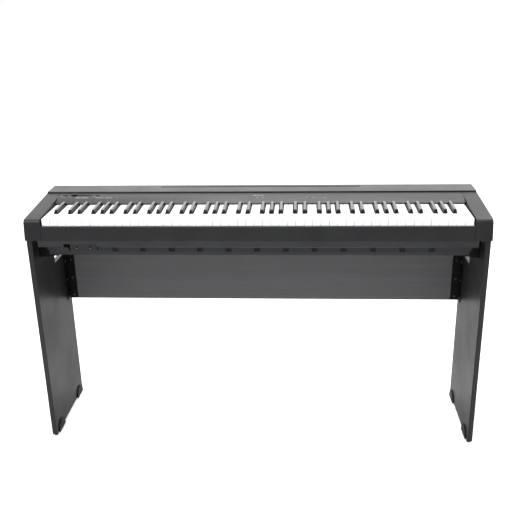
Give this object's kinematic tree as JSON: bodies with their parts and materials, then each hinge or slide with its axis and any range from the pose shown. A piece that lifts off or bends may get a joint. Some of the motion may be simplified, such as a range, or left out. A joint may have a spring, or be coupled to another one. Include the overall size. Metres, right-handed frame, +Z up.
{
  "type": "digital piano on stand",
  "caption": "Slim digital piano with a full weighted keyboard, sloping control panel and end blocks, on a stand of two end boards joined by a back board.",
  "frame": {"origin": "on the floor, below the middle of the piano", "axes": "+X to the player's right, +Y away from the player towards the back, +Z up"},
  "size_m": [1.326, 0.295, 0.75],
  "materials": {
    "board_laminate": "black foil on particle board, semi-gloss with a fine grain",
    "foot_plate_steel": "black powder coat",
    "contact_nickel": "nickel plate in the sockets",
    "panel_ink": "pale printed marks",
    "lamp_lens": "unlit red lens",
    "bracket_steel": "black powder coat",
    "glide_plastic": "moulded",
    "screw_steel": "blackened",
    "bolt_steel": "black knob heads",
    "case_plastic": "fine moulded texture",
    "panel_plastic": "fine moulded texture",
    "cover_plastic": "fine moulded texture",
    "foot_rubber": "matt",
    "box_plastic": "fine moulded texture",
    "socket_plastic": "moulded",
    "button_plastic": "satin",
    "frame_steel": "phosphated, dark grey",
    "rod_steel": "drawn bar",
    "felt": "felt",
    "circuit_board": "solder mask",
    "speaker_paper": "pressed paper cone in a black basket",
    "key_white": "polished",
    "key_black": "satin",
    "hammer_steel": "dark steel weight in a plastic lever"
  },
  "bodies": {
    "piano_on_stand": {"side_panel_left": "board_laminate", "side_panel_right": "board_laminate", "back_board": "board_laminate", "stabiliser_feet": "foot_plate_steel", "corner_brackets": "bracket_steel", "support_brackets": "bracket_steel", "floor_glides": "glide_plastic", "bracket_screws": "screw_steel", "case_screws": "screw_steel", "case_bolts": "bolt_steel", "lower_case": "case_plastic", "end_block_left": "case_plastic", "end_block_right": "case_plastic", "key_slip": "case_plastic", "control_panel": "panel_plastic", "rear_cover": "cover_plastic", "case_feet": "foot_rubber", "headphone_box": "box_plastic", "rear_sockets": "socket_plastic", "key_frame": "frame_steel", "pivot_rods": "rod_steel", "key_felts": "felt", "contact_board": "circuit_board", "main_board": "circuit_board", "speakers": "speaker_paper"},
    "power_button": {"power_button": "button_plastic"},
    "function_button": {"function_button": "button_plastic"},
    "volume_slider": {"volume_knob": "button_plastic"},
    "white_keys_low": {"white_keys_low": "key_white"},
    "white_hammers_low": {"white_hammers_low": "hammer_steel"},
    "black_keys_low": {"black_keys_low": "key_black"},
    "black_hammers_low": {"black_hammers_low": "hammer_steel"},
    "key_c4": {"key_c4": "key_white"},
    "hammer_c4": {"hammer_c4": "hammer_steel"},
    "key_c_sharp4": {"key_c_sharp4": "key_black"},
    "hammer_c_sharp4": {"hammer_c_sharp4": "hammer_steel"},
    "key_d4": {"key_d4": "key_white"},
    "hammer_d4": {"hammer_d4": "hammer_steel"},
    "key_d_sharp4": {"key_d_sharp4": "key_black"},
    "hammer_d_sharp4": {"hammer_d_sharp4": "hammer_steel"},
    "key_e4": {"key_e4": "key_white"},
    "hammer_e4": {"hammer_e4": "hammer_steel"},
    "key_f4": {"key_f4": "key_white"},
    "hammer_f4": {"hammer_f4": "hammer_steel"},
    "key_f_sharp4": {"key_f_sharp4": "key_black"},
    "hammer_f_sharp4": {"hammer_f_sharp4": "hammer_steel"},
    "key_g4": {"key_g4": "key_white"},
    "hammer_g4": {"hammer_g4": "hammer_steel"},
    "key_g_sharp4": {"key_g_sharp4": "key_black"},
    "hammer_g_sharp4": {"hammer_g_sharp4": "hammer_steel"},
    "key_a4": {"key_a4": "key_white"},
    "hammer_a4": {"hammer_a4": "hammer_steel"},
    "key_a_sharp4": {"key_a_sharp4": "key_black"},
    "hammer_a_sharp4": {"hammer_a_sharp4": "hammer_steel"},
    "key_b4": {"key_b4": "key_white"},
    "hammer_b4": {"hammer_b4": "hammer_steel"},
    "white_keys_high": {"white_keys_high": "key_white"},
    "white_hammers_high": {"white_hammers_high": "hammer_steel"},
    "black_keys_high": {"black_keys_high": "key_black"},
    "black_hammers_high": {"black_hammers_high": "hammer_steel"}
  },
  "joints": [
    {"name": "power_button_press", "type": "slide", "parent": "piano_on_stand", "child": "power_button", "axis": [0, 0, -1], "range_m": [0, 0.002], "stiffness_N_per_m": 300, "springref_m": -0.001},
    {"name": "function_button_press", "type": "slide", "parent": "piano_on_stand", "child": "function_button", "axis": [0, 0, -1], "range_m": [0, 0.002], "stiffness_N_per_m": 300, "springref_m": -0.001},
    {"name": "volume_slide", "type": "slide", "parent": "piano_on_stand", "child": "volume_slider", "axis": [1, 0, 0], "range_m": [-0.008, 0.048]},
    {"name": "white_keys_low_press", "type": "hinge", "parent": "piano_on_stand", "child": "white_keys_low", "pos_m": [0, 0.085, 0.715], "axis": [1, 0, 0], "range_deg": [0, 2.58], "stiffness_Nm_per_rad": 6.9, "springref_deg": -11.46},
    {"name": "white_hammers_low_swing", "type": "hinge", "parent": "piano_on_stand", "child": "white_hammers_low", "pos_m": [0, -0.03, 0.665], "axis": [1, 0, 0], "range_deg": [0, 10]},
    {"name": "black_keys_low_press", "type": "hinge", "parent": "piano_on_stand", "child": "black_keys_low", "pos_m": [0, 0.085, 0.715], "axis": [1, 0, 0], "range_deg": [0, 2.58], "stiffness_Nm_per_rad": 4.8, "springref_deg": -11.46},
    {"name": "black_hammers_low_swing", "type": "hinge", "parent": "piano_on_stand", "child": "black_hammers_low", "pos_m": [0, -0.03, 0.665], "axis": [1, 0, 0], "range_deg": [0, 10]},
    {"name": "key_c4_press", "type": "hinge", "parent": "piano_on_stand", "child": "key_c4", "pos_m": [0, 0.085, 0.715], "axis": [1, 0, 0], "range_deg": [0, 2.58], "stiffness_Nm_per_rad": 0.3, "springref_deg": -11.46},
    {"name": "hammer_c4_swing", "type": "hinge", "parent": "piano_on_stand", "child": "hammer_c4", "pos_m": [0, -0.03, 0.665], "axis": [1, 0, 0], "range_deg": [0, 10]},
    {"name": "key_c_sharp4_press", "type": "hinge", "parent": "piano_on_stand", "child": "key_c_sharp4", "pos_m": [0, 0.085, 0.715], "axis": [1, 0, 0], "range_deg": [0, 2.58], "stiffness_Nm_per_rad": 0.3, "springref_deg": -11.46},
    {"name": "hammer_c_sharp4_swing", "type": "hinge", "parent": "piano_on_stand", "child": "hammer_c_sharp4", "pos_m": [0, -0.03, 0.665], "axis": [1, 0, 0], "range_deg": [0, 10]},
    {"name": "key_d4_press", "type": "hinge", "parent": "piano_on_stand", "child": "key_d4", "pos_m": [0, 0.085, 0.715], "axis": [1, 0, 0], "range_deg": [0, 2.58], "stiffness_Nm_per_rad": 0.3, "springref_deg": -11.46},
    {"name": "hammer_d4_swing", "type": "hinge", "parent": "piano_on_stand", "child": "hammer_d4", "pos_m": [0, -0.03, 0.665], "axis": [1, 0, 0], "range_deg": [0, 10]},
    {"name": "key_d_sharp4_press", "type": "hinge", "parent": "piano_on_stand", "child": "key_d_sharp4", "pos_m": [0, 0.085, 0.715], "axis": [1, 0, 0], "range_deg": [0, 2.58], "stiffness_Nm_per_rad": 0.3, "springref_deg": -11.46},
    {"name": "hammer_d_sharp4_swing", "type": "hinge", "parent": "piano_on_stand", "child": "hammer_d_sharp4", "pos_m": [0, -0.03, 0.665], "axis": [1, 0, 0], "range_deg": [0, 10]},
    {"name": "key_e4_press", "type": "hinge", "parent": "piano_on_stand", "child": "key_e4", "pos_m": [0, 0.085, 0.715], "axis": [1, 0, 0], "range_deg": [0, 2.58], "stiffness_Nm_per_rad": 0.3, "springref_deg": -11.46},
    {"name": "hammer_e4_swing", "type": "hinge", "parent": "piano_on_stand", "child": "hammer_e4", "pos_m": [0, -0.03, 0.665], "axis": [1, 0, 0], "range_deg": [0, 10]},
    {"name": "key_f4_press", "type": "hinge", "parent": "piano_on_stand", "child": "key_f4", "pos_m": [0, 0.085, 0.715], "axis": [1, 0, 0], "range_deg": [0, 2.58], "stiffness_Nm_per_rad": 0.3, "springref_deg": -11.46},
    {"name": "hammer_f4_swing", "type": "hinge", "parent": "piano_on_stand", "child": "hammer_f4", "pos_m": [0, -0.03, 0.665], "axis": [1, 0, 0], "range_deg": [0, 10]},
    {"name": "key_f_sharp4_press", "type": "hinge", "parent": "piano_on_stand", "child": "key_f_sharp4", "pos_m": [0, 0.085, 0.715], "axis": [1, 0, 0], "range_deg": [0, 2.58], "stiffness_Nm_per_rad": 0.3, "springref_deg": -11.46},
    {"name": "hammer_f_sharp4_swing", "type": "hinge", "parent": "piano_on_stand", "child": "hammer_f_sharp4", "pos_m": [0, -0.03, 0.665], "axis": [1, 0, 0], "range_deg": [0, 10]},
    {"name": "key_g4_press", "type": "hinge", "parent": "piano_on_stand", "child": "key_g4", "pos_m": [0, 0.085, 0.715], "axis": [1, 0, 0], "range_deg": [0, 2.58], "stiffness_Nm_per_rad": 0.3, "springref_deg": -11.46},
    {"name": "hammer_g4_swing", "type": "hinge", "parent": "piano_on_stand", "child": "hammer_g4", "pos_m": [0, -0.03, 0.665], "axis": [1, 0, 0], "range_deg": [0, 10]},
    {"name": "key_g_sharp4_press", "type": "hinge", "parent": "piano_on_stand", "child": "key_g_sharp4", "pos_m": [0, 0.085, 0.715], "axis": [1, 0, 0], "range_deg": [0, 2.58], "stiffness_Nm_per_rad": 0.3, "springref_deg": -11.46},
    {"name": "hammer_g_sharp4_swing", "type": "hinge", "parent": "piano_on_stand", "child": "hammer_g_sharp4", "pos_m": [0, -0.03, 0.665], "axis": [1, 0, 0], "range_deg": [0, 10]},
    {"name": "key_a4_press", "type": "hinge", "parent": "piano_on_stand", "child": "key_a4", "pos_m": [0, 0.085, 0.715], "axis": [1, 0, 0], "range_deg": [0, 2.58], "stiffness_Nm_per_rad": 0.3, "springref_deg": -11.46},
    {"name": "hammer_a4_swing", "type": "hinge", "parent": "piano_on_stand", "child": "hammer_a4", "pos_m": [0, -0.03, 0.665], "axis": [1, 0, 0], "range_deg": [0, 10]},
    {"name": "key_a_sharp4_press", "type": "hinge", "parent": "piano_on_stand", "child": "key_a_sharp4", "pos_m": [0, 0.085, 0.715], "axis": [1, 0, 0], "range_deg": [0, 2.58], "stiffness_Nm_per_rad": 0.3, "springref_deg": -11.46},
    {"name": "hammer_a_sharp4_swing", "type": "hinge", "parent": "piano_on_stand", "child": "hammer_a_sharp4", "pos_m": [0, -0.03, 0.665], "axis": [1, 0, 0], "range_deg": [0, 10]},
    {"name": "key_b4_press", "type": "hinge", "parent": "piano_on_stand", "child": "key_b4", "pos_m": [0, 0.085, 0.715], "axis": [1, 0, 0], "range_deg": [0, 2.58], "stiffness_Nm_per_rad": 0.3, "springref_deg": -11.46},
    {"name": "hammer_b4_swing", "type": "hinge", "parent": "piano_on_stand", "child": "hammer_b4", "pos_m": [0, -0.03, 0.665], "axis": [1, 0, 0], "range_deg": [0, 10]},
    {"name": "white_keys_high_press", "type": "hinge", "parent": "piano_on_stand", "child": "white_keys_high", "pos_m": [0, 0.085, 0.715], "axis": [1, 0, 0], "range_deg": [0, 2.58], "stiffness_Nm_per_rad": 6.6, "springref_deg": -11.46},
    {"name": "white_hammers_high_swing", "type": "hinge", "parent": "piano_on_stand", "child": "white_hammers_high", "pos_m": [0, -0.03, 0.665], "axis": [1, 0, 0], "range_deg": [0, 10]},
    {"name": "black_keys_high_press", "type": "hinge", "parent": "piano_on_stand", "child": "black_keys_high", "pos_m": [0, 0.085, 0.715], "axis": [1, 0, 0], "range_deg": [0, 2.58], "stiffness_Nm_per_rad": 4.5, "springref_deg": -11.46},
    {"name": "black_hammers_high_swing", "type": "hinge", "parent": "piano_on_stand", "child": "black_hammers_high", "pos_m": [0, -0.03, 0.665], "axis": [1, 0, 0], "range_deg": [0, 10]}
  ],
  "couplings": [
    {"joint": "white_hammers_low_swing", "follows": "white_keys_low_press", "ratio": 3.875},
    {"joint": "black_hammers_low_swing", "follows": "black_keys_low_press", "ratio": 3.875},
    {"joint": "hammer_c4_swing", "follows": "key_c4_press", "ratio": 3.875},
    {"joint": "hammer_c_sharp4_swing", "follows": "key_c_sharp4_press", "ratio": 3.875},
    {"joint": "hammer_d4_swing", "follows": "key_d4_press", "ratio": 3.875},
    {"joint": "hammer_d_sharp4_swing", "follows": "key_d_sharp4_press", "ratio": 3.875},
    {"joint": "hammer_e4_swing", "follows": "key_e4_press", "ratio": 3.875},
    {"joint": "hammer_f4_swing", "follows": "key_f4_press", "ratio": 3.875},
    {"joint": "hammer_f_sharp4_swing", "follows": "key_f_sharp4_press", "ratio": 3.875},
    {"joint": "hammer_g4_swing", "follows": "key_g4_press", "ratio": 3.875},
    {"joint": "hammer_g_sharp4_swing", "follows": "key_g_sharp4_press", "ratio": 3.875},
    {"joint": "hammer_a4_swing", "follows": "key_a4_press", "ratio": 3.875},
    {"joint": "hammer_a_sharp4_swing", "follows": "key_a_sharp4_press", "ratio": 3.875},
    {"joint": "hammer_b4_swing", "follows": "key_b4_press", "ratio": 3.875},
    {"joint": "white_hammers_high_swing", "follows": "white_keys_high_press", "ratio": 3.875},
    {"joint": "black_hammers_high_swing", "follows": "black_keys_high_press", "ratio": 3.875}
  ]
}
